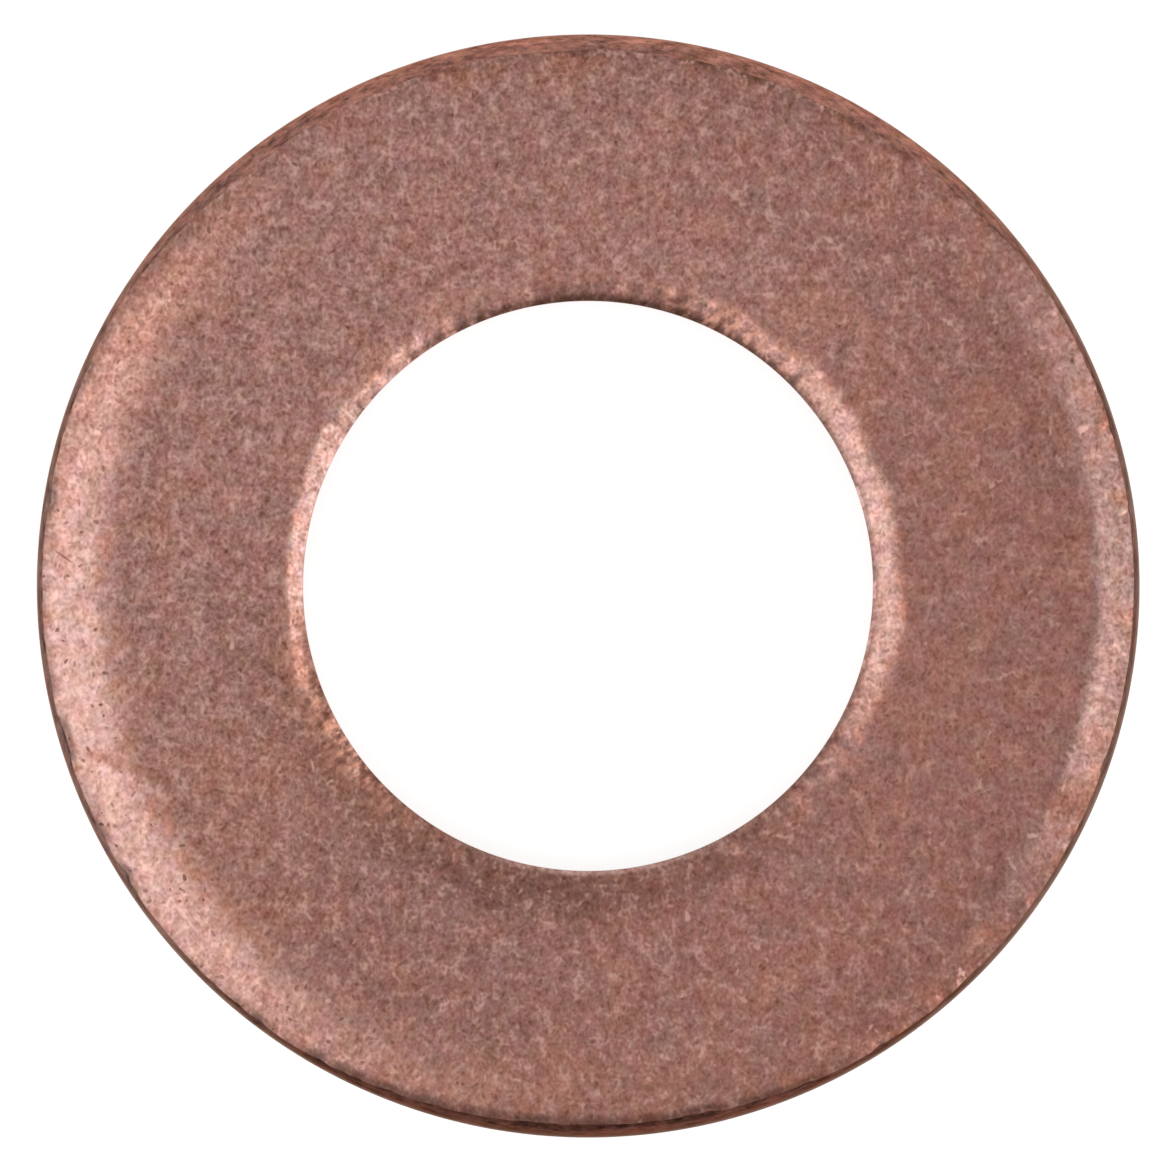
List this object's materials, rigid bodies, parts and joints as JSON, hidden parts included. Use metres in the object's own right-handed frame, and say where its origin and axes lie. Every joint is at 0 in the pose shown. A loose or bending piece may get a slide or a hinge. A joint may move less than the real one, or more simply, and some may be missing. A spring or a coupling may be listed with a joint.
{
  "type": "copper crush washer",
  "caption": "Flat punched copper sealing ring with a round bore and rolled upper edges, crushed under a bolt or plug to seal it.",
  "frame": {"origin": "centre of the bore, in the plane of the lower face", "axes": "+Z along the bore, out of the rolled upper face; X and Y lie in the sheet"},
  "size_m": [0.012, 0.012, 0.001],
  "materials": {
    "copper": "tumbled bare copper, dull and covered in fine scratches"
  },
  "bodies": {
    "root": {"crush_washer": "copper"}
  },
  "joints": []
}
